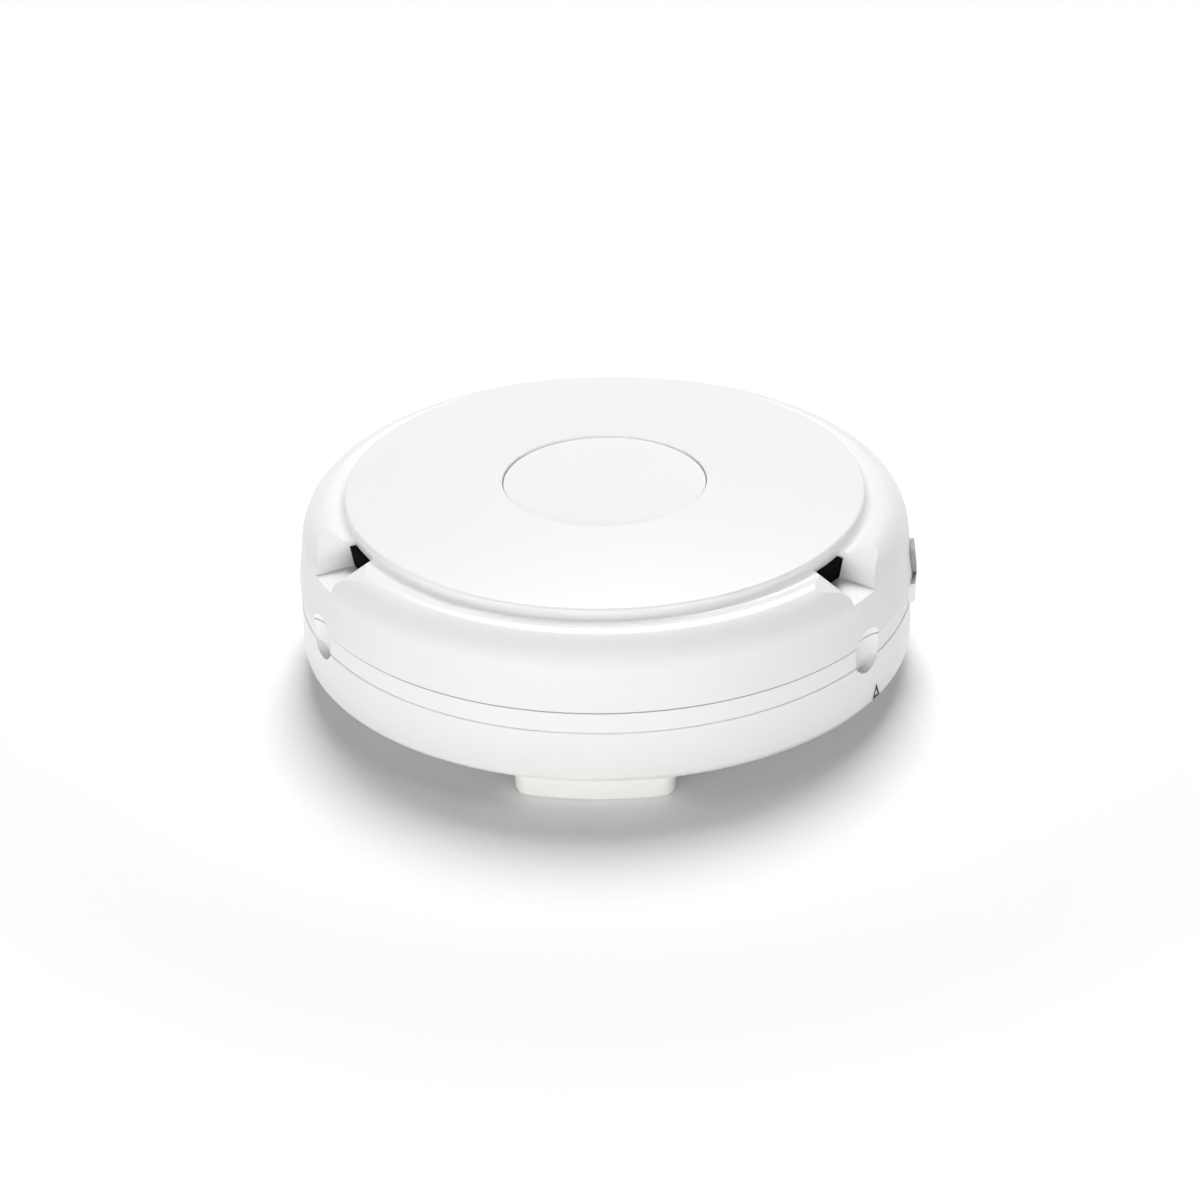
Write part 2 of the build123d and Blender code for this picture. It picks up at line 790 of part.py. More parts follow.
with BuildPart() as switch_body:
    with BuildSketch(Plane.XY.offset(board_top)):
        RectangleRounded(switch_size, switch_size, edge_break)
    extrude(amount=switch_height)
    with BuildSketch(Plane.XY.offset(board_top + switch_height)):
        Circle(plunger_radius + plunger_gap)
    extrude(amount=-plunger_depth - button_travel, mode=Mode.SUBTRACT)
finish(switch_body, "switch_body")

with BuildPart() as switch_plunger:
    with BuildSketch(Plane.XY.offset(button_bottom)):
        Circle(plunger_radius)
    extrude(amount=board_top + switch_height - plunger_depth - button_bottom)
finish(switch_plunger, "switch_plunger")

with BuildPart() as radio_module:
    with BuildSketch(Plane.XY.offset(board_top)):
        with Locations(radio_place):
            Rectangle(radio_size[0], radio_size[1])
    extrude(amount=radio_size[2] / 3)
    with BuildSketch(Plane.XY.offset(board_top + radio_size[2] / 3)):
        with Locations(radio_place):
            RectangleRounded(radio_size[0] - 2 * shield_step, radio_size[1] - 2 * shield_step, shield_step)
    extrude(amount=radio_size[2] * 2 / 3)
finish(radio_module, "radio_module")

with BuildPart() as microcontroller:
    with BuildSketch(Plane.XY.offset(board_top)):
        with Locations(chip_place):
            Rectangle(chip_size, chip_size)
    extrude(amount=chip_height)
    chamfer(microcontroller.edges().group_by(Axis.Z)[-1], length=edge_break / 2)
finish(microcontroller, "microcontroller")

with BuildPart() as status_led:
    with BuildSketch(Plane.XY.offset(board_top)):
        with Locations(led_place):
            Rectangle(led_size[0], led_size[1])
    extrude(amount=led_size[2] / 2)
    with BuildSketch(Plane.XY.offset(board_top + led_size[2] / 2)):
        with Locations(led_place):
            Rectangle(led_size[0] / 2, led_size[1])
    extrude(amount=led_size[2] / 2, taper=10)
finish(status_led, "status_led")

with BuildPart() as buzzer:
    with BuildSketch(Plane.XY.offset(board_top)):
        with Locations(buzzer_place):
            Circle(buzzer_radius)
    extrude(amount=buzzer_height)
    chamfer(buzzer.edges().group_by(Axis.Z)[-1], length=edge_break)
    with BuildSketch(Plane.XY.offset(board_top + buzzer_height)):
        with Locations(buzzer_place):
            Circle(buzzer_hole)
    extrude(amount=-buzzer_height / 2, mode=Mode.SUBTRACT)
finish(buzzer, "buzzer")

# Strip antenna: an arc on edge that stands on two legs along the board's rim
with BuildPart() as antenna:
    antenna_span = antenna_azimuths[1] - antenna_azimuths[0]
    with BuildSketch(Plane.XY.offset(board_top + antenna_rise)):
        with BuildLine(mode=Mode.PRIVATE) as antenna_line:
            CenterArc((0, 0), antenna_radius, antenna_azimuths[0] - 90, antenna_span)
        SlotArc(antenna_line.edges()[0], antenna_thickness)
    extrude(amount=antenna_height)
    with BuildSketch(Plane.XY.offset(board_top)):
        for azimuth in (antenna_azimuths[0], antenna_azimuths[0] + antenna_span / 4):
            with BuildLine(mode=Mode.PRIVATE) as leg_line:
                CenterArc((0, 0), antenna_radius, azimuth - 90, antenna_thickness * 180 / pi / 20)
            SlotArc(leg_line.edges()[0], antenna_thickness)
    extrude(amount=antenna_rise)
finish(antenna, "antenna")

with BuildPart() as probe_jack:
    with BuildSketch(Plane.YZ.offset(jack_back)):
        with Locations((0, (port_height - jack_below_port + board_bottom) / 2)):
            Rectangle(jack_width, board_bottom - port_height + jack_below_port)
    extrude(amount=jack_front - jack_back)
    with BuildSketch(Plane.YZ.offset(jack_front)):
        with Locations((0, port_height)):
            Circle(jack_bore)
    extrude(amount=jack_back + jack_back_wall - jack_front, mode=Mode.SUBTRACT)
finish(probe_jack, "probe_jack")

# Port cover: a curved flap that follows the tapered wall above the band, with a round plug behind it
with BuildPart() as port_cover:
    flap_low = port_height - flap_height / 2
    flap_high = port_height + flap_height / 2
    with BuildSketch(Plane.XZ):
        with BuildLine():
            Polyline(
                (wall_radius(flap_low) + flap_gap, flap_low),
                (wall_radius(flap_low) + flap_gap + flap_thickness, flap_low),
                (wall_radius(flap_high) + flap_gap + flap_thickness, flap_high),
                (wall_radius(flap_high) + flap_gap, flap_high),
                close=True,
            )
        make_face()
    revolve(axis=Axis.Z)
    with BuildSketch(radial_plane(port_azimuth, spigot_inner)):
        with Locations((0, port_height)):
            RectangleRounded(flap_width, flap_height, flap_corner)
    extrude(amount=lip_radius, mode=Mode.INTERSECT)
    with BuildSketch(radial_plane(port_azimuth, lip_radius - port_plug_length)):
        with Locations((0, port_height)):
            Circle(port_radius - port_plug_gap)
    extrude(amount=port_plug_length + flap_gap + flap_thickness / 2 - (lip_radius - wall_radius(port_height)))
finish(port_cover, "port_cover")

with BuildPart() as board_screws:
    with BuildSketch(Plane.XY.offset(board_top)):
        with Locations(*round_places(feature_azimuths, board_screw_circle)):
            Circle(board_screw_head[0])
    extrude(amount=board_screw_head[1])
    chamfer(board_screws.edges().group_by(Axis.Z)[-1], length=edge_break)
    with BuildSketch(Plane.XY.offset(board_top)):
        with Locations(*round_places(feature_azimuths, board_screw_circle)):
            Circle(board_screw_radius)
    extrude(amount=-board_screw_length)
    with BuildSketch(Plane.XY.offset(board_top + board_screw_head[1])):
        with Locations(*round_places(feature_azimuths, board_screw_circle)):
            RegularPolygon(drive_radius, 6)
    extrude(amount=-drive_depth, mode=Mode.SUBTRACT)
finish(board_screws, "board_screws")

with BuildPart() as cover_screws:
    with BuildSketch(Plane.XY.offset(deck_bottom)):
        with Locations(*round_places(cover_screw_azimuths, cover_screw_circle)):
            Circle(cover_screw_head[0])
    extrude(amount=-cover_screw_head[1])
    chamfer(cover_screws.edges().group_by(Axis.Z)[0], length=edge_break)
    with BuildSketch(Plane.XY.offset(deck_bottom)):
        with Locations(*round_places(cover_screw_azimuths, cover_screw_circle)):
            Circle(cover_screw_radius)
    extrude(amount=cover_screw_length)
    with BuildSketch(Plane.XY.offset(deck_bottom - cover_screw_head[1])):
        with Locations(*round_places(cover_screw_azimuths, cover_screw_circle)):
            RegularPolygon(drive_radius, 6)
    extrude(amount=drive_depth, mode=Mode.SUBTRACT)
finish(cover_screws, "cover_screws")

# The cells lie head to tail, each with its nub on a flat plate and its flat end on a bowed spring
for number, turned in ((1, 1), (2, -1)):
    cell_y = -turned * cell_pitch / 2
    nub_end = bay_length / 2 - contact_thickness
    flat_end = nub_end - cell_length
    shoulder = nub_end - cell_nub[1]
    with BuildPart() as cell:
        with BuildSketch(Plane(origin=(0, cell_y, cell_height), x_dir=(turned, 0, 0), z_dir=(0, 0, 1))):
            with BuildLine():
                Polyline(
                    (flat_end, 0),
                    (flat_end, cell_radius - cell_edge),
                    (flat_end + cell_edge, cell_radius),
                    (shoulder - cell_edge, cell_radius),
                    (shoulder, cell_radius - cell_edge),
                    (shoulder, cell_nub[0]),
                    (nub_end, cell_nub[0]),
                    (nub_end, 0),
                    close=True,
                )
            make_face()
        revolve(axis=Axis((0, cell_y, cell_height), (1, 0, 0)))
    finish(cell, f"battery_{number}")

with BuildPart() as battery_plates:
    for turned in (1, -1):
        place = turned * (bay_length / 2 - contact_thickness / 2)
        with BuildSketch(Plane.XY.offset(cell_height - contact_height / 2)):
            with Locations((place, -turned * cell_pitch / 2)):
                Rectangle(contact_thickness, contact_width)
        extrude(amount=contact_height)
finish(battery_plates, "battery_plates")

with BuildPart() as battery_springs:
    for turned in (1, -1):
        wall_face = -bay_length / 2
        cell_face = wall_face + contact_thickness + spring_reach
        with BuildSketch(
            Plane(origin=(0, -turned * cell_pitch / 2, cell_height), x_dir=(turned, 0, 0), z_dir=(0, -turned, 0))
        ):
            with BuildLine():
                Polyline(
                    (wall_face, -contact_height / 2),
                    (wall_face, contact_height / 2),
                    (wall_face + contact_thickness, contact_height / 2),
                    (wall_face + contact_thickness, contact_thickness - contact_height / 2),
                )
                ThreePointArc(
                    (wall_face + contact_thickness, contact_thickness - contact_height / 2),
                    (cell_face - contact_thickness, 0),
                    (wall_face + 2 * contact_thickness, contact_height / 2 - contact_thickness),
                )
                Line(
                    (wall_face + 2 * contact_thickness, contact_height / 2 - contact_thickness),
                    (wall_face + 3 * contact_thickness, contact_height / 2 - contact_thickness / 2),
                )
                ThreePointArc(
                    (wall_face + 3 * contact_thickness, contact_height / 2 - contact_thickness / 2),
                    (cell_face, 0),
                    (wall_face + contact_thickness, -contact_height / 2),
                )
                Line((wall_face + contact_thickness, -contact_height / 2), (wall_face, -contact_height / 2))
            make_face()
        extrude(amount=contact_width / 2, both=True)
finish(battery_springs, "battery_springs")
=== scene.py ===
"""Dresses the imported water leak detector: its finishes, its mark, a studio and a camera."""

from math import cos, pi, radians, sin

import bmesh
import bpy
from mathutils import Matrix, Vector


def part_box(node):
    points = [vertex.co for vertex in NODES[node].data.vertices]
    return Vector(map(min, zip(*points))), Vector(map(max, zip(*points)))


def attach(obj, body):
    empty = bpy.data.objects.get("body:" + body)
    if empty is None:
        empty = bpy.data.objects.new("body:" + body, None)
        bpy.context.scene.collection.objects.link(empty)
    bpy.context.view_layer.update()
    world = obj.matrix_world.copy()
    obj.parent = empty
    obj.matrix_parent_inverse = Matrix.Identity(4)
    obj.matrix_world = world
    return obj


bl_info = {
    "name": "Water Leak Detector",
    "version": (1, 0, 0),
    "blender": (4, 5, 0),
    "location": "View3D > Sidebar > Leak Detector",
    "description": "Finishes, marks and studio for a round battery leak sensor",
    "category": "Object",
}

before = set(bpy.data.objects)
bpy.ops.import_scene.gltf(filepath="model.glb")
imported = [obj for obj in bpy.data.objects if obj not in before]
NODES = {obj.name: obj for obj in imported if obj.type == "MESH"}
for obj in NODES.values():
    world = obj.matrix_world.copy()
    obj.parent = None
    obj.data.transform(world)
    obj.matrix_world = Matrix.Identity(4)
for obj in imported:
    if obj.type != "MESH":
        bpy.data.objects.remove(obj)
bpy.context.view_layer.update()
MM = 0.001
WHITE = (1.0, 1.0, 1.0, 1.0)
LENGTH = {"unit": "LENGTH", "subtype": "DISTANCE"}
ANGLE = {"unit": "ROTATION", "subtype": "ANGLE"}


# Helpers


def linear(hex_colour):
    """Turn an sRGB hex colour into a linear RGBA value."""
    value = hex_colour.lstrip("#")
    channels = [int(value[i : i + 2], 16) / 255 for i in (0, 2, 4)]
    return (*[c / 12.92 if c <= 0.04045 else ((c + 0.055) / 1.055) ** 2.4 for c in channels], 1.0)


def lighter(colour, gain, lift=0.0):
    """Make a linear colour paler, for the high spots of a pattern."""
    return (*[min(1.0, c * gain + lift) for c in colour[:3]], 1.0)


def plug(tree, node, inputs):
    """Set or link a node's sockets, which are given by name or by number."""
    for key, value in inputs.items():
        if isinstance(value, bpy.types.NodeSocket):
            tree.links.new(value, node.inputs[key])
        else:
            node.inputs[key].default_value = value


def add_node(tree, kind, settings=None, inputs=None):
    """Add one shader node with its settings, and set or link its sockets."""
    made = tree.nodes.new(kind)
    for name, value in (settings or {}).items():
        setattr(made, name, value)
    plug(tree, made, inputs or {})
    return made


def new_material(name):
    """Start a material: its node tree, its shader, and object coordinates in millimetres."""
    material = bpy.data.materials.new(name)
    material.use_nodes = True
    tree = material.node_tree
    tree.nodes.clear()
    shader = add_node(tree, "ShaderNodeBsdfPrincipled")
    add_node(tree, "ShaderNodeOutputMaterial", inputs={"Surface": shader.outputs["BSDF"]})
    place = add_node(tree, "ShaderNodeTexCoord")
    in_mm = add_node(
        tree,
        "ShaderNodeMapping",
        inputs={"Vector": place.outputs["Object"], "Scale": (1 / MM, 1 / MM, 1 / MM)},
    )
    return material, tree, shader, in_mm.outputs["Vector"]


def wear(name, material):
    """Put one material on a CAD node."""
    slots = NODES[name].data.materials
    slots.clear()
    slots.append(material)


# Finishes


def painted_seam_shade(tree, at, colour, height_mm, half_mm, hex_colour):
    """Paint shade into a colour: a grey band along the seam's broken edge, where its shadow falls.
    """
    parts = add_node(tree, "ShaderNodeSeparateXYZ", inputs={"Vector": at})
    in_seam_shade = add_node(
        tree,
        "ShaderNodeMath",
        {"operation": "COMPARE"},
        {0: parts.outputs["Z"], 1: height_mm, 2: half_mm},
    )
    # Painted shade: inside the band the colour turns to the seam's grey
    seam_shaded = add_node(
        tree,
        "ShaderNodeMix",
        {"data_type": "RGBA"},
        {"Factor": in_seam_shade.outputs["Value"], "A": colour, "B": linear(hex_colour)},
    )
    return seam_shaded.outputs["Result"]


def moulded_abs(name, hex_colour, roughness, grain_mm, relief_mm, seam_shade=None):
    """Injection-moulded ABS from a spark-eroded tool.

    The eye gets an even colour with a faint bloom, and a highlight whose edge the grain breaks a
    little, so that the face doesn't look like glass. The grain is drawn several times coarser than
    the real one, so that it shows. Where a seam is asked for, a thin grey band of painted shade
    lies along its broken edge.
    """
    bloom_mm = 18
    roughness_swing = 0.04
    material, tree, shader, at = new_material(name)
    bloom = add_node(
        tree, "ShaderNodeTexNoise", inputs={"Vector": at, "Scale": 1 / bloom_mm, "Detail": 3.0}
    )
    deep = linear(hex_colour)
    body = add_node(
        tree,
        "ShaderNodeMix",
        {"data_type": "RGBA"},
        {"Factor": bloom.outputs["Fac"], "A": deep, "B": lighter(deep, gain=1.025)},
    )
    colour = body.outputs["Result"]
    # Painted shade: a grey band at the seam's height stands in for the shadow in the seam
    if seam_shade:
        colour = painted_seam_shade(tree, at, colour, *seam_shade)
    grain = add_node(
        tree,
        "ShaderNodeTexNoise",
        inputs={"Vector": at, "Scale": 1 / grain_mm, "Detail": 2.0, "Roughness": 0.6},
    )
    satin = add_node(
        tree,
        "ShaderNodeMapRange",
        inputs={
            "Value": grain.outputs["Fac"],
            "To Min": roughness - roughness_swing,
            "To Max": roughness + roughness_swing,
        },
    )
    bump = add_node(
        tree,
        "ShaderNodeBump",
        inputs={"Height": grain.outputs["Fac"], "Distance": relief_mm * MM, "Strength": 0.6},
    )
    plug(
        tree,
        shader,
        {
            "Base Color": colour,
            "Roughness": satin.outputs["Result"],
            "Normal": bump.outputs["Normal"],
            "IOR": 1.53,
        },
    )
    return material


def elastomer(name, hex_colour, roughness):
    """Moulded silicone or TPE: soft and matt, with a dry powdery bloom in the low spots."""
    bloom_mm = 1.5
    relief_mm = 0.01
    smoother, rougher = 0.05, 0.08
    material, tree, shader, at = new_material(name)
    bloom = add_node(
        tree, "ShaderNodeTexNoise", inputs={"Vector": at, "Scale": 1 / bloom_mm, "Detail": 4.0}
    )
    deep = linear(hex_colour)
    colour = add_node(
        tree,
        "ShaderNodeMix",
        {"data_type": "RGBA"},
        {"Factor": bloom.outputs["Fac"], "A": deep, "B": lighter(deep, gain=1.12, lift=0.005)},
    )
    matt = add_node(
        tree,
        "ShaderNodeMapRange",
        inputs={
            "Value": bloom.outputs["Fac"],
            "To Min": roughness - smoother,
            "To Max": roughness + rougher,
        },
    )
    bump = add_node(
        tree,
        "ShaderNodeBump",
        inputs={"Height": bloom.outputs["Fac"], "Distance": relief_mm * MM, "Strength": 0.5},
    )
    plug(
        tree,
        shader,
        {
            "Base Color": colour.outputs["Result"],
            "Roughness": matt.outputs["Result"],
            "Normal": bump.outputs["Normal"],
            "IOR": 1.41,
        },
    )
    return material


def woven_mesh(name):
    """Black acoustic cloth: two crossed sets of threads give it a dull, slightly ribbed face.

    The threads are drawn about twice as wide as the real ones, so that they show.
    """
    thread_mm = 0.25
    relief_mm = 0.05
    # At a scale of 1 a wave texture repeats each pi / 10
    wave_scale = pi / 10 / thread_mm
    material, tree, shader, at = new_material(name)
    across, along = [
        add_node(
            tree,
            "ShaderNodeTexWave",
            {"bands_direction": direction},
            {"Vector": at, "Scale": wave_scale, "Distortion": 0.0},
        )
        for direction in ("X", "Z")
    ]
    over = add_node(
        tree,
        "ShaderNodeMath",
        {"operation": "MAXIMUM"},
        {0: across.outputs["Fac"], 1: along.outputs["Fac"]},
    )
    colour = add_node(
        tree,
        "ShaderNodeMix",
        {"data_type": "RGBA"},
        {"Factor": over.outputs["Value"], "A": linear("#020202"), "B": linear("#0B0B0C")},
    )
    bump = add_node(
        tree,
        "ShaderNodeBump",
        inputs={"Height": over.outputs["Value"], "Distance": relief_mm * MM, "Strength": 0.8},
    )
    plug(
        tree,
        shader,
        {
            "Base Color": colour.outputs["Result"],
            "Normal": bump.outputs["Normal"],
            "Roughness": 1.0,
            "Specular IOR Level": 0.05,
        },
    )
    return material


def plated_metal(name, hex_colour, roughness, line_mm):
    """Plated or tinned strip: a metal with the fine rolling lines of the sheet it was cut from."""
    line_stretch = 20
    smoother, rougher = 0.06, 0.1
    material, tree, shader, at = new_material(name)
    stretched = add_node(
        tree,
        "ShaderNodeMapping",
        inputs={"Vector": at, "Scale": (1 / line_mm, 1 / line_mm / line_stretch, 1 / line_mm)},
    )
    lines = add_node(
        tree,
        "ShaderNodeTexNoise",
        inputs={"Vector": stretched.outputs["Vector"], "Scale": 1.0, "Detail": 3.0},
    )
    deep = linear(hex_colour)
    colour = add_node(
        tree,
        "ShaderNodeMix",
        {"data_type": "RGBA"},
        {"Factor": lines.outputs["Fac"], "A": deep, "B": lighter(deep, gain=1.1)},
    )
    polish = add_node(
        tree,
        "ShaderNodeMapRange",
        inputs={
            "Value": lines.outputs["Fac"],
            "To Min": roughness - smoother,
            "To Max": roughness + rougher,
        },
    )
    plug(
        tree,
        shader,
        {
            "Base Color": colour.outputs["Result"],
            "Roughness": polish.outputs["Result"],
            "Metallic": 1.0,
        },
    )
    return material


def solder_mask(name):
    """Circuit laminate: green mask over copper runs, which show as straight lighter lines."""
    run_half_width_mm = 0.15
    run_length_mm = 9.0
    run_spacing_mm = 1.27
    relief_mm = 0.04
    material, tree, shader, at = new_material(name)
    # The lines between the bricks are the runs, and uneven rows keep them from looking like a wall
    runs = add_node(
        tree,
        "ShaderNodeTexBrick",
        {"offset": 0.37, "offset_frequency": 3, "squash": 0.6, "squash_frequency": 4},
        {
            "Vector": at,
            "Scale": 1.0,
            "Mortar Size": run_half_width_mm,
            "Mortar Smooth": 0.3,
            "Brick Width": run_length_mm,
            "Row Height": run_spacing_mm,
        },
    )
    colour = add_node(
        tree,
        "ShaderNodeMix",
        {"data_type": "RGBA"},
        {"Factor": runs.outputs["Fac"], "A": linear("#14532F"), "B": linear("#2E7A4B")},
    )
    bump = add_node(
        tree,
        "ShaderNodeBump",
        inputs={"Height": runs.outputs["Fac"], "Distance": relief_mm * MM, "Strength": 0.6},
    )
    plug(
        tree,
        shader,
        {
            "Base Color": colour.outputs["Result"],
            "Normal": bump.outputs["Normal"],
            "Roughness": 0.28,
            "IOR": 1.52,
        },
    )
    return material


def moulded_resin(name, hex_colour, roughness):
    """Moulded epoxy or nylon of a component: nearly black, with a fine sandblasted grain."""
    grit_mm = 0.12
    relief_mm = 0.01
    material, tree, shader, at = new_material(name)
    grit = add_node(
        tree, "ShaderNodeTexNoise", inputs={"Vector": at, "Scale": 1 / grit_mm, "Detail": 2.0}
    )
    deep = linear(hex_colour)
    colour = add_node(
        tree,
        "ShaderNodeMix",
        {"data_type": "RGBA"},
        {"Factor": grit.outputs["Fac"], "A": deep, "B": lighter(deep, gain=1.35, lift=0.004)},
    )
    bump = add_node(
        tree,
        "ShaderNodeBump",
        inputs={"Height": grit.outputs["Fac"], "Distance": relief_mm * MM, "Strength": 0.5},
    )
    plug(
        tree,
        shader,
        {
            "Base Color": colour.outputs["Result"],
            "Normal": bump.outputs["Normal"],
            "Roughness": roughness,
            "IOR": 1.55,
        },
    )
    return material


def clear_lens(name):
    """Clear epoxy over a light chip: pale, glossy and slightly see-through, with warm clouds."""
    cloud_mm = 0.5
    material, tree, shader, at = new_material(name)
    cloud = add_node(tree, "ShaderNodeTexNoise", inputs={"Vector": at, "Scale": 1 / cloud_mm})
    colour = add_node(
        tree,
        "ShaderNodeMix",
        {"data_type": "RGBA"},
        {"Factor": cloud.outputs["Fac"], "A": linear("#E4E2BE"), "B": linear("#F3F2E2")},
    )
    plug(
        tree,
        shader,
        {
            "Base Color": colour.outputs["Result"],
            "Roughness": 0.12,
            "IOR": 1.5,
            "Transmission Weight": 0.35,
        },
    )
    return material


def cell_sleeve(name, facing):
    """Dry cell: a glossy film in two greys, and bare steel at both ends.

    The film's pale band and the nub's end point to +X where facing is 1, and to -X where it is -1.
    The distances are from the middle of the bay.
    """
    band_start_mm, band_blur_mm = 14.9, 0.1
    film_top_mm, film_bottom_mm, film_blur_mm = 23.2, -20.1, 0.05
    material, tree, shader, at = new_material(name)
    parts = add_node(tree, "ShaderNodeSeparateXYZ", inputs={"Vector": at})
    along = add_node(
        tree, "ShaderNodeMath", {"operation": "MULTIPLY"}, {0: parts.outputs["X"], 1: facing}
    )
    band, top, bottom = [
        add_node(
            tree,
            "ShaderNodeMapRange",
            inputs={"Value": along.outputs["Value"], "From Min": start, "From Max": end},
        )
        for start, end in (
            (band_start_mm, band_start_mm + band_blur_mm),
            (film_top_mm, film_top_mm + film_blur_mm),
            (film_bottom_mm, film_bottom_mm - film_blur_mm),
        )
    ]
    film = add_node(
        tree,
        "ShaderNodeMix",
        {"data_type": "RGBA"},
        {"Factor": band.outputs["Result"], "A": linear("#23262B"), "B": linear("#B8BCC0")},
    )
    steel = add_node(
        tree,
        "ShaderNodeMath",
        {"operation": "MAXIMUM"},
        {0: top.outputs["Result"], 1: bottom.outputs["Result"]},
    )
    colour = add_node(
        tree,
        "ShaderNodeMix",
        {"data_type": "RGBA"},
        {"Factor": steel.outputs["Value"], "A": film.outputs["Result"], "B": linear("#C9C8C4")},
    )
    plug(
        tree,
        shader,
        {
            "Base Color": colour.outputs["Result"],
            "Metallic": steel.outputs["Value"],
            "Roughness": 0.25,
            "IOR": 1.5,
        },
    )
    return material


def printed_ink(name):
    """Pad-printed ink: a flat black film with faint specks where it lies thin."""
    speck_mm = 0.125
    material, tree, shader, at = new_material(name)
    speck = add_node(tree, "ShaderNodeTexNoise", inputs={"Vector": at, "Scale": 1 / speck_mm})
    colour = add_node(
        tree,
        "ShaderNodeMix",
        {"data_type": "RGBA"},
        {"Factor": speck.outputs["Fac"], "A": linear("#0E0E0E"), "B": linear("#242424")},
    )
    plug(tree, shader, {"Base Color": colour.outputs["Result"], "Roughness": 0.5})
    return material


def seen_directly(tree):
    """A socket that is 1 for camera, mirror and see-through rays, and 0 for light on the object."""
    path = add_node(tree, "ShaderNodeLightPath")
    sharp = add_node(
        tree,
        "ShaderNodeMath",
        {"operation": "MAXIMUM"},
        {0: path.outputs["Is Glossy Ray"], 1: path.outputs["Is Transmission Ray"]},
    )
    seen = add_node(
        tree,
        "ShaderNodeMath",
        {"operation": "MAXIMUM"},
        {0: path.outputs["Is Camera Ray"], 1: sharp.outputs["Value"]},
    )
    return seen.outputs["Value"]


# What a user would change


class ShellSettings(bpy.types.PropertyGroup):
    shell_colour: bpy.props.StringProperty(
        name="Shell colour", description="sRGB hex of the white ABS", default="#EDEDEC"
    )
    button_colour: bpy.props.StringProperty(
        name="Button colour", description="sRGB hex of the button", default="#EDEDEC"
    )
    foot_colour: bpy.props.StringProperty(
        name="Foot colour", description="sRGB hex of the feet", default="#F0EFEC"
    )
    port_colour: bpy.props.StringProperty(
        name="Port cover colour", description="sRGB hex of the port's cover", default="#9A9A9C"
    )
    roughness: bpy.props.FloatProperty(
        name="Roughness",
        description="Satin of the shell",
        default=0.3,
        min=0.05,
        max=1.0,
        subtype="FACTOR",
    )
    foot_matting: bpy.props.FloatProperty(
        name="Foot matting", description="How much rougher the feet are", default=0.15
    )
    grain_mm: bpy.props.FloatProperty(
        name="Grain", description="Size of the tool's grain, mm", default=0.35, min=0.05, max=2.0
    )
    relief_mm: bpy.props.FloatProperty(
        name="Relief", description="Depth of the shell's grain, mm", default=0.006
    )
    foot_relief_mm: bpy.props.FloatProperty(
        name="Foot relief", description="Depth of the feet's grain, mm", default=0.01
    )
    # The band along the seam is painted shade: these set its height, half height and grey
    seam_height_mm: bpy.props.FloatProperty(
        name="Seam", description="Middle of the upper seam above the floor, mm", default=13.7
    )
    seam_shade_half_mm: bpy.props.FloatProperty(
        name="Seam half", description="Half the height of the seam's broken edges, mm", default=0.15
    )
    seam_shade_colour: bpy.props.StringProperty(
        name="Seam colour", description="sRGB hex of the seam", default="#B0B0B0"
    )


class MarkSettings(bpy.types.PropertyGroup):
    azimuth: bpy.props.FloatProperty(
        name="Azimuth",
        description="Place round the base, from -Y towards +X",
        default=radians(63.3),
        **ANGLE,
    )
    height: bpy.props.FloatProperty(
        name="Height", description="Middle above the floor", default=0.0053, **LENGTH
    )
    width: bpy.props.FloatProperty(
        name="Width", description="Width of the triangle", default=0.002, **LENGTH
    )
    rise: bpy.props.FloatProperty(
        name="Rise", description="Height of the triangle", default=0.0021, **LENGTH
    )
    stroke: bpy.props.FloatProperty(
        name="Stroke", description="Width of its line", default=0.0004, **LENGTH
    )
    lift: bpy.props.FloatProperty(
        name="Lift", description="Height of the ink above the shell", default=0.00002, **LENGTH
    )


class StageSettings(bpy.types.PropertyGroup):
    floor_colour: bpy.props.StringProperty(
        name="Floor colour", description="sRGB hex of the paper", default="#FDFDFD"
    )
    fibre_colour: bpy.props.StringProperty(
        name="Fibre colour", description="sRGB hex of the paper's fibres", default="#FBFBFB"
    )
    floor_half: bpy.props.FloatProperty(
        name="Floor half", description="Half the floor's width", default=3.0, **LENGTH
    )
    floor_lift: bpy.props.FloatProperty(
        name="Floor lift", description="Light added where the camera sees the floor", default=0.07
    )
    paper_near: bpy.props.FloatProperty(
        name="Paper", description="Reach of the paper with the shadow", default=0.075, **LENGTH
    )
    paper_far: bpy.props.FloatProperty(
        name="White", description="Where the paper has faded to white", default=0.105, **LENGTH
    )
    sky_strength: bpy.props.FloatProperty(
        name="Sky", description="Strength of the even light", default=0.06
    )
    fill_strength: bpy.props.FloatProperty(
        name="Fill", description="Strength of the low light in front", default=12.0
    )
    fill_turn: bpy.props.FloatProperty(
        name="Fill turn", description="Place of the fill, from -Y", default=radians(-6), **ANGLE
    )
    fill_drop: bpy.props.FloatProperty(
        name="Fill drop", description="Its centre below level", default=radians(60), **ANGLE
    )
    lamp_watts: bpy.props.FloatProperty(
        name="Lamp", description="Power of the softbox behind", default=15.4, unit="POWER"
    )
    lamp_size: bpy.props.FloatProperty(
        name="Lamp size", description="Width of the softbox", default=0.72, **LENGTH
    )
    lamp_place: bpy.props.FloatVectorProperty(
        name="Lamp place",
        description="Place of the softbox",
        default=(0.0, 0.66, 1.06),
        unit="LENGTH",
        subtype="XYZ",
    )


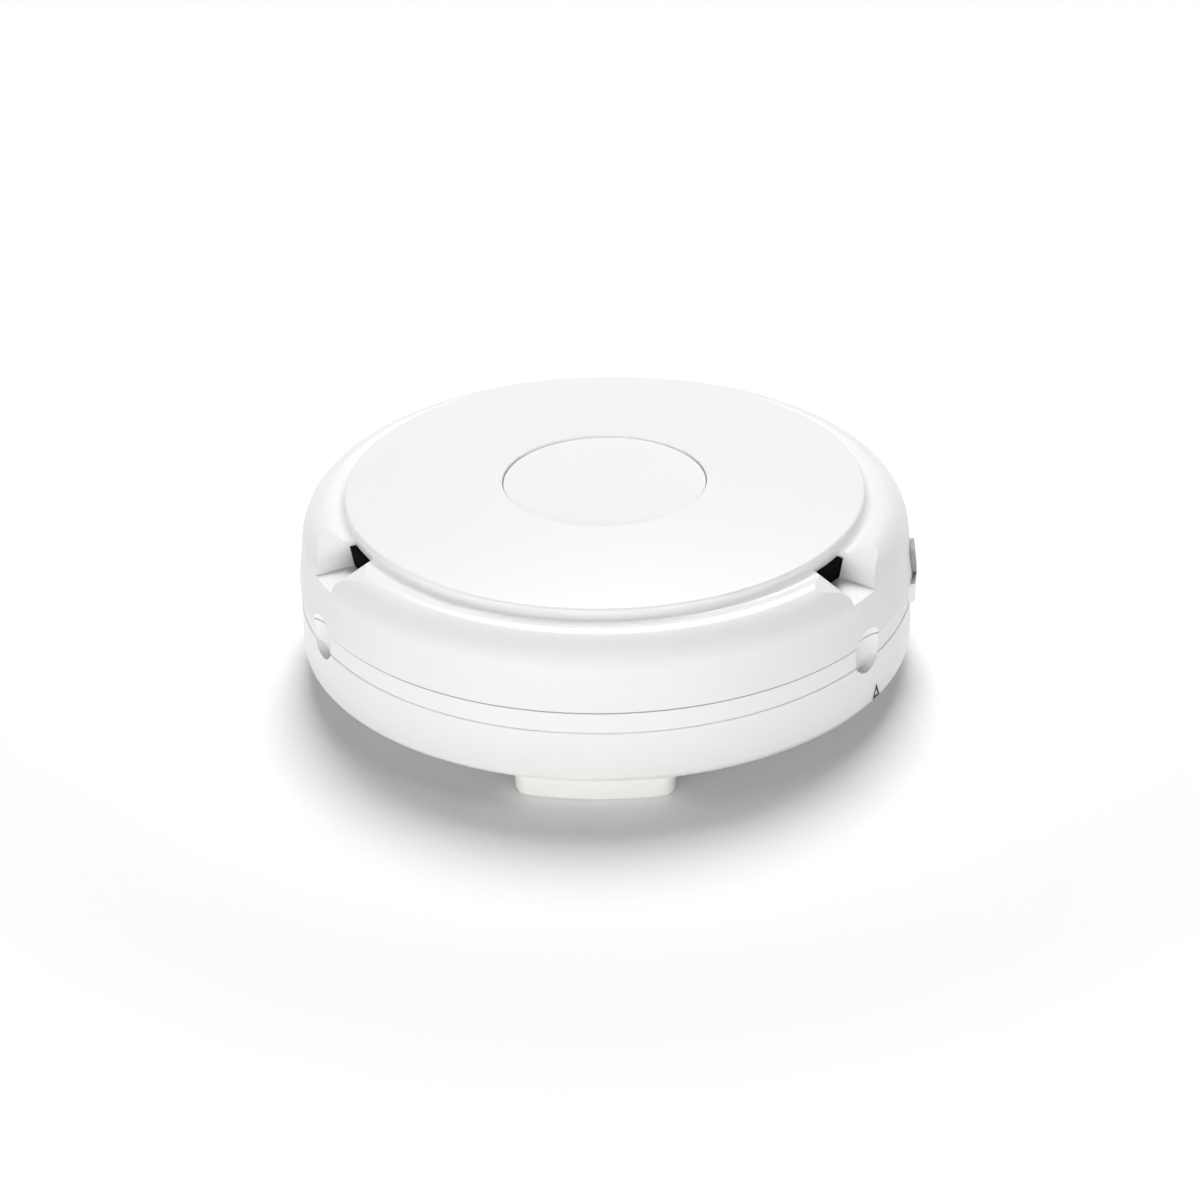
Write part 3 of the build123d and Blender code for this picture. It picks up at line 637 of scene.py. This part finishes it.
class CameraSettings(bpy.types.PropertyGroup):
    tilt: bpy.props.FloatProperty(
        name="Tilt", description="Angle down to the object", default=radians(28.3), **ANGLE
    )
    roll: bpy.props.FloatProperty(
        name="Roll", description="Turn about the line of sight", default=radians(-1.1), **ANGLE
    )
    turn: bpy.props.FloatProperty(
        name="Turn", description="Place round the object, from -Y", default=radians(5.3), **ANGLE
    )
    distance: bpy.props.FloatProperty(
        name="Distance", description="Distance to the aim point", default=0.45, **LENGTH
    )
    lens: bpy.props.FloatProperty(
        name="Lens", description="Focal length", default=101.9, unit="CAMERA"
    )
    sensor: bpy.props.FloatProperty(
        name="Sensor", description="Width of the sensor", default=36.0, unit="CAMERA"
    )
    aim_height: bpy.props.FloatProperty(
        name="Aim height", description="Height of the aim point", default=0.026, **LENGTH
    )
    aim_x: bpy.props.FloatProperty(
        name="Aim X", description="Photo pixel of the aim point, across", default=604.45
    )
    aim_y: bpy.props.FloatProperty(
        name="Aim Y", description="Photo pixel of the aim point, down", default=478.0
    )
    photo_width: bpy.props.IntProperty(
        name="Photo width", description="Pixels across", default=1200, subtype="PIXEL"
    )
    photo_height: bpy.props.IntProperty(
        name="Photo height", description="Pixels down", default=1199, subtype="PIXEL"
    )


# Pieces


class LEAK_OT_shells(bpy.types.Operator):
    """Give the moulded shells, the button and the feet their finishes, with painted shade along the
    shells' seam
    """

    bl_idname = "leak.shells"
    bl_label = "Shells"

    def execute(self, context):
        settings = context.scene.leak_shell
        satin, grain, relief = settings.roughness, settings.grain_mm, settings.relief_mm
        # The seam's band paints shade into the shells' colour
        seam_shade = (settings.seam_height_mm, settings.seam_shade_half_mm, settings.seam_shade_colour)
        shell = moulded_abs(
            "satin_moulded_abs", settings.shell_colour, satin, grain, relief, seam_shade
        )
        button = moulded_abs("button_moulded_abs", settings.button_colour, satin, grain, relief)
        foot = moulded_abs(
            "foot_moulded_abs",
            settings.foot_colour,
            satin + settings.foot_matting,
            grain,
            settings.foot_relief_mm,
        )
        for name in ("top_cover", "chassis", "base_cover"):
            wear(name, shell)
        wear("test_button", button)
        for name in ("foot_front", "foot_right", "foot_left"):
            wear(name, foot)
        return {"FINISHED"}


class LEAK_OT_rubber_and_mesh(bpy.types.Operator):
    """Give the port cover, the seal and the sound meshes their finishes"""

    bl_idname = "leak.rubber_and_mesh"
    bl_label = "Rubber and mesh"

    def execute(self, context):
        port_colour = context.scene.leak_shell.port_colour
        wear("port_cover", elastomer("port_elastomer", port_colour, roughness=0.55))
        wear("seal_ring", elastomer("seal_silicone", "#55575B", roughness=0.45))
        wear("sound_meshes", woven_mesh("acoustic_cloth"))
        return {"FINISHED"}


class LEAK_OT_contacts(bpy.types.Operator):
    """Give the pins, rings, springs and screws their platings"""

    bl_idname = "leak.contacts"
    bl_label = "Contacts and screws"

    def execute(self, context):
        gold = plated_metal("gold_plating", "#D9B766", roughness=0.25, line_mm=0.2)
        nickel = plated_metal("nickel_plating", "#C3C1BB", roughness=0.22, line_mm=0.2)
        zinc = plated_metal("zinc_plating", "#A9AAAD", roughness=0.35, line_mm=0.15)
        for name in ("probe_pins", "contact_fingers"):
            wear(name, gold)
        for name in ("probe_ring_inner", "probe_ring_outer", "battery_springs", "battery_plates"):
            wear(name, nickel)
        for name in ("board_screws", "cover_screws"):
            wear(name, zinc)
        return {"FINISHED"}


class LEAK_OT_electronics(bpy.types.Operator):
    """Give the circuit board, its components and the cells their finishes"""

    bl_idname = "leak.electronics"
    bl_label = "Electronics"

    def execute(self, context):
        wear("circuit_board", solder_mask("solder_mask_laminate"))
        tin = plated_metal("tinned_shield", "#B9B9BA", roughness=0.4, line_mm=0.3)
        for name in ("radio_module", "antenna"):
            wear(name, tin)
        resin = moulded_resin("moulded_epoxy_black", "#141416", roughness=0.5)
        for name in ("microcontroller", "switch_body", "buzzer", "probe_jack"):
            wear(name, resin)
        nylon = moulded_resin("moulded_nylon_black", "#1B1B1C", roughness=0.42)
        wear("switch_plunger", nylon)
        wear("status_led", clear_lens("clear_epoxy_lens"))
        wear("battery_1", cell_sleeve("printed_cell_sleeve_right", facing=1))
        wear("battery_2", cell_sleeve("printed_cell_sleeve_left", facing=-1))
        return {"FINISHED"}


class LEAK_OT_mark(bpy.types.Operator):
    """Print the small outlined triangle that shows where the base lines up"""

    bl_idname = "leak.mark"
    bl_label = "Alignment mark"

    def execute(self, context):
        settings = context.scene.leak_mark
        low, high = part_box("base_cover")
        radius = (high.x - low.x) / 2
        half, foot = settings.width / 2, -settings.rise / 2
        shape = bmesh.new()
        corners = [shape.verts.new(at) for at in ((-half, 0, foot), (half, 0, foot), (0, 0, -foot))]
        face = shape.faces.new(corners)
        # The inset works from the face's normal
        face.normal_update()
        bmesh.ops.inset_region(
            shape,
            faces=[face],
            thickness=settings.stroke,
            use_boundary=True,
            use_even_offset=True,
        )
        bmesh.ops.delete(shape, geom=[face], context="FACES_ONLY")
        bmesh.ops.subdivide_edges(shape, edges=shape.edges[:], cuts=3, use_grid_fill=True)
        # The flat outline is wrapped round the base
        for vertex in shape.verts:
            turn = settings.azimuth + vertex.co.x / radius
            out = radius + settings.lift
            vertex.co = (out * sin(turn), -out * cos(turn), settings.height + vertex.co.z)
        bmesh.ops.recalc_face_normals(shape, faces=shape.faces[:])
        mesh = bpy.data.meshes.new("alignment_mark")
        shape.to_mesh(mesh)
        shape.free()
        mesh.materials.append(printed_ink("pad_printed_ink"))
        mark = bpy.data.objects.new("alignment_mark", mesh)
        context.scene.collection.objects.link(mark)
        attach(mark, "base")
        return {"FINISHED"}


class LEAK_OT_stage(bpy.types.Operator):
    """Set the pale floor, the soft light and the camera at the photograph's angle"""

    bl_idname = "leak.stage"
    bl_label = "Stage"

    def execute(self, context):
        self.floor(context, context.scene.leak_stage)
        self.light(context, context.scene.leak_stage)
        self.camera(context, context.scene.leak_camera)
        context.scene.view_settings.view_transform = "Standard"
        return {"FINISHED"}

    def floor(self, context, settings):
        """White paper that keeps the object's shadow and, as the camera sees it, fades to white."""
        fibres_per_metre = 300.0
        shape = bmesh.new()
        bmesh.ops.create_grid(shape, x_segments=1, y_segments=1, size=settings.floor_half)
        mesh = bpy.data.meshes.new("floor")
        shape.to_mesh(mesh)
        shape.free()
        floor = bpy.data.objects.new("floor", mesh)
        context.scene.collection.objects.link(floor)
        material = bpy.data.materials.new("seamless_paper")
        material.use_nodes = True
        tree = material.node_tree
        tree.nodes.clear()
        place = add_node(tree, "ShaderNodeTexCoord")
        fibre = add_node(
            tree,
            "ShaderNodeTexNoise",
            inputs={"Vector": place.outputs["Object"], "Scale": fibres_per_metre, "Detail": 3.0},
        )
        pulp = add_node(
            tree,
            "ShaderNodeMix",
            {"data_type": "RGBA"},
            {
                "Factor": fibre.outputs["Fac"],
                "A": linear(settings.fibre_colour),
                "B": linear(settings.floor_colour),
            },
        )
        paper = add_node(tree, "ShaderNodeBsdfDiffuse", inputs={"Color": pulp.outputs["Result"]})
        lift = add_node(tree, "ShaderNodeEmission", inputs={"Strength": settings.floor_lift})
        lifted = add_node(
            tree,
            "ShaderNodeAddShader",
            inputs={0: paper.outputs["BSDF"], 1: lift.outputs["Emission"]},
        )
        away = add_node(
            tree, "ShaderNodeVectorMath", {"operation": "LENGTH"}, {0: place.outputs["Object"]}
        )
        fade = add_node(
            tree,
            "ShaderNodeMapRange",
            {"interpolation_type": "SMOOTHSTEP"},
            {
                "Value": away.outputs["Value"],
                "From Min": settings.paper_near,
                "From Max": settings.paper_far,
            },
        )
        white = add_node(tree, "ShaderNodeEmission", inputs={"Strength": 1.0})
        sheet = add_node(
            tree,
            "ShaderNodeMixShader",
            inputs={
                "Fac": fade.outputs["Result"],
                1: lifted.outputs["Shader"],
                2: white.outputs["Emission"],
            },
        )
        shown = add_node(
            tree,
            "ShaderNodeMixShader",
            inputs={
                "Fac": seen_directly(tree),
                1: paper.outputs["BSDF"],
                2: sheet.outputs["Shader"],
            },
        )
        add_node(tree, "ShaderNodeOutputMaterial", inputs={"Surface": shown.outputs["Shader"]})
        mesh.materials.append(material)

    def light(self, context, settings):
        """A wide low fill in front, under a sky seen as white, and a softbox high behind."""
        world = bpy.data.worlds.new("studio")
        context.scene.world = world
        world.use_nodes = True
        tree = world.node_tree
        tree.nodes.clear()
        sight = add_node(tree, "ShaderNodeTexCoord")
        level = cos(settings.fill_drop)
        fill_way = (
            level * sin(settings.fill_turn),
            -level * cos(settings.fill_turn),
            -sin(settings.fill_drop),
        )
        facing = add_node(
            tree,
            "ShaderNodeVectorMath",
            {"operation": "DOT_PRODUCT"},
            {0: sight.outputs["Generated"], 1: fill_way},
        )
        strength = add_node(
            tree,
            "ShaderNodeMapRange",
            inputs={
                "Value": facing.outputs["Value"],
                "To Min": settings.sky_strength,
                "To Max": settings.sky_strength + settings.fill_strength,
            },
        )
        lit = add_node(
            tree,
            "ShaderNodeBackground",
            inputs={"Color": WHITE, "Strength": strength.outputs["Result"]},
        )
        plain = add_node(tree, "ShaderNodeBackground", inputs={"Color": WHITE, "Strength": 1.0})
        shown = add_node(
            tree,
            "ShaderNodeMixShader",
            inputs={
                "Fac": seen_directly(tree),
                1: lit.outputs["Background"],
                2: plain.outputs["Background"],
            },
        )
        add_node(tree, "ShaderNodeOutputWorld", inputs={"Surface": shown.outputs["Shader"]})
        lamp = bpy.data.lights.new("softbox", "AREA")
        lamp.shape = "DISK"
        lamp.size = settings.lamp_size
        lamp.energy = settings.lamp_watts
        softbox = bpy.data.objects.new("softbox", lamp)
        softbox.location = settings.lamp_place
        # A lamp shines along its own -Z, here at the origin
        softbox.rotation_euler = (-softbox.location).to_track_quat("-Z", "Y").to_euler()
        context.scene.collection.objects.link(softbox)

    def camera(self, context, settings):
        """Set the camera from settings fitted to the ellipses that the plateau, the button and the
        seams make.
        """
        near_clip = 0.01
        forward = Vector((0, cos(settings.tilt), -sin(settings.tilt)))
        level = Vector((1, 0, 0))
        rise = Vector((0, sin(settings.tilt), cos(settings.tilt)))
        right = level * cos(settings.roll) + rise * sin(settings.roll)
        up = rise * cos(settings.roll) - level * sin(settings.roll)
        # One photo pixel at the aim point's distance
        pixel = settings.distance * settings.sensor / settings.lens / settings.photo_width
        aside = (settings.aim_x - settings.photo_width / 2) * pixel
        below = (settings.aim_y - settings.photo_height / 2) * pixel
        place = -(forward * settings.distance + right * aside - up * below)
        spin = Matrix.Rotation(settings.turn, 3, "Z")
        axes = Matrix((spin @ right, spin @ up, -(spin @ forward))).transposed()
        place = spin @ place + Vector((0, 0, settings.aim_height))
        camera_data = bpy.data.cameras.new("camera")
        camera_data.lens = settings.lens
        camera_data.sensor_width = settings.sensor
        camera_data.sensor_fit = "HORIZONTAL"
        camera_data.clip_start = near_clip
        camera = bpy.data.objects.new("camera", camera_data)
        camera.matrix_world = Matrix.Translation(place) @ axes.to_4x4()
        context.scene.collection.objects.link(camera)
        context.scene.camera = camera


class LEAK_PT_panel(bpy.types.Panel):
    """List the settings, and the operators that make the pieces"""

    bl_idname = "LEAK_PT_panel"
    bl_label = "Leak Detector"
    bl_space_type = "VIEW_3D"
    bl_region_type = "UI"
    bl_category = "Leak Detector"

    def draw(self, context):
        for group in GROUPS:
            settings = getattr(context.scene, group)
            box = self.layout.box()
            for name in settings.__annotations__:
                box.prop(settings, name)
        for operator in OPERATORS:
            self.layout.operator(operator.bl_idname)


OPERATORS = (
    LEAK_OT_shells,
    LEAK_OT_rubber_and_mesh,
    LEAK_OT_contacts,
    LEAK_OT_electronics,
    LEAK_OT_mark,
    LEAK_OT_stage,
)
GROUPS = {
    "leak_shell": ShellSettings,
    "leak_mark": MarkSettings,
    "leak_stage": StageSettings,
    "leak_camera": CameraSettings,
}


def register():
    for cls in (*GROUPS.values(), *OPERATORS, LEAK_PT_panel):
        bpy.utils.register_class(cls)
    for name, group in GROUPS.items():
        setattr(bpy.types.Scene, name, bpy.props.PointerProperty(type=group))


def unregister():
    for name in GROUPS:
        delattr(bpy.types.Scene, name)
    for cls in (LEAK_PT_panel, *OPERATORS, *GROUPS.values()):
        bpy.utils.unregister_class(cls)


def main():
    register()
    for operator in OPERATORS:
        getattr(bpy.ops.leak, operator.bl_idname.split(".")[1])()


if __name__ == "__main__":
    main()
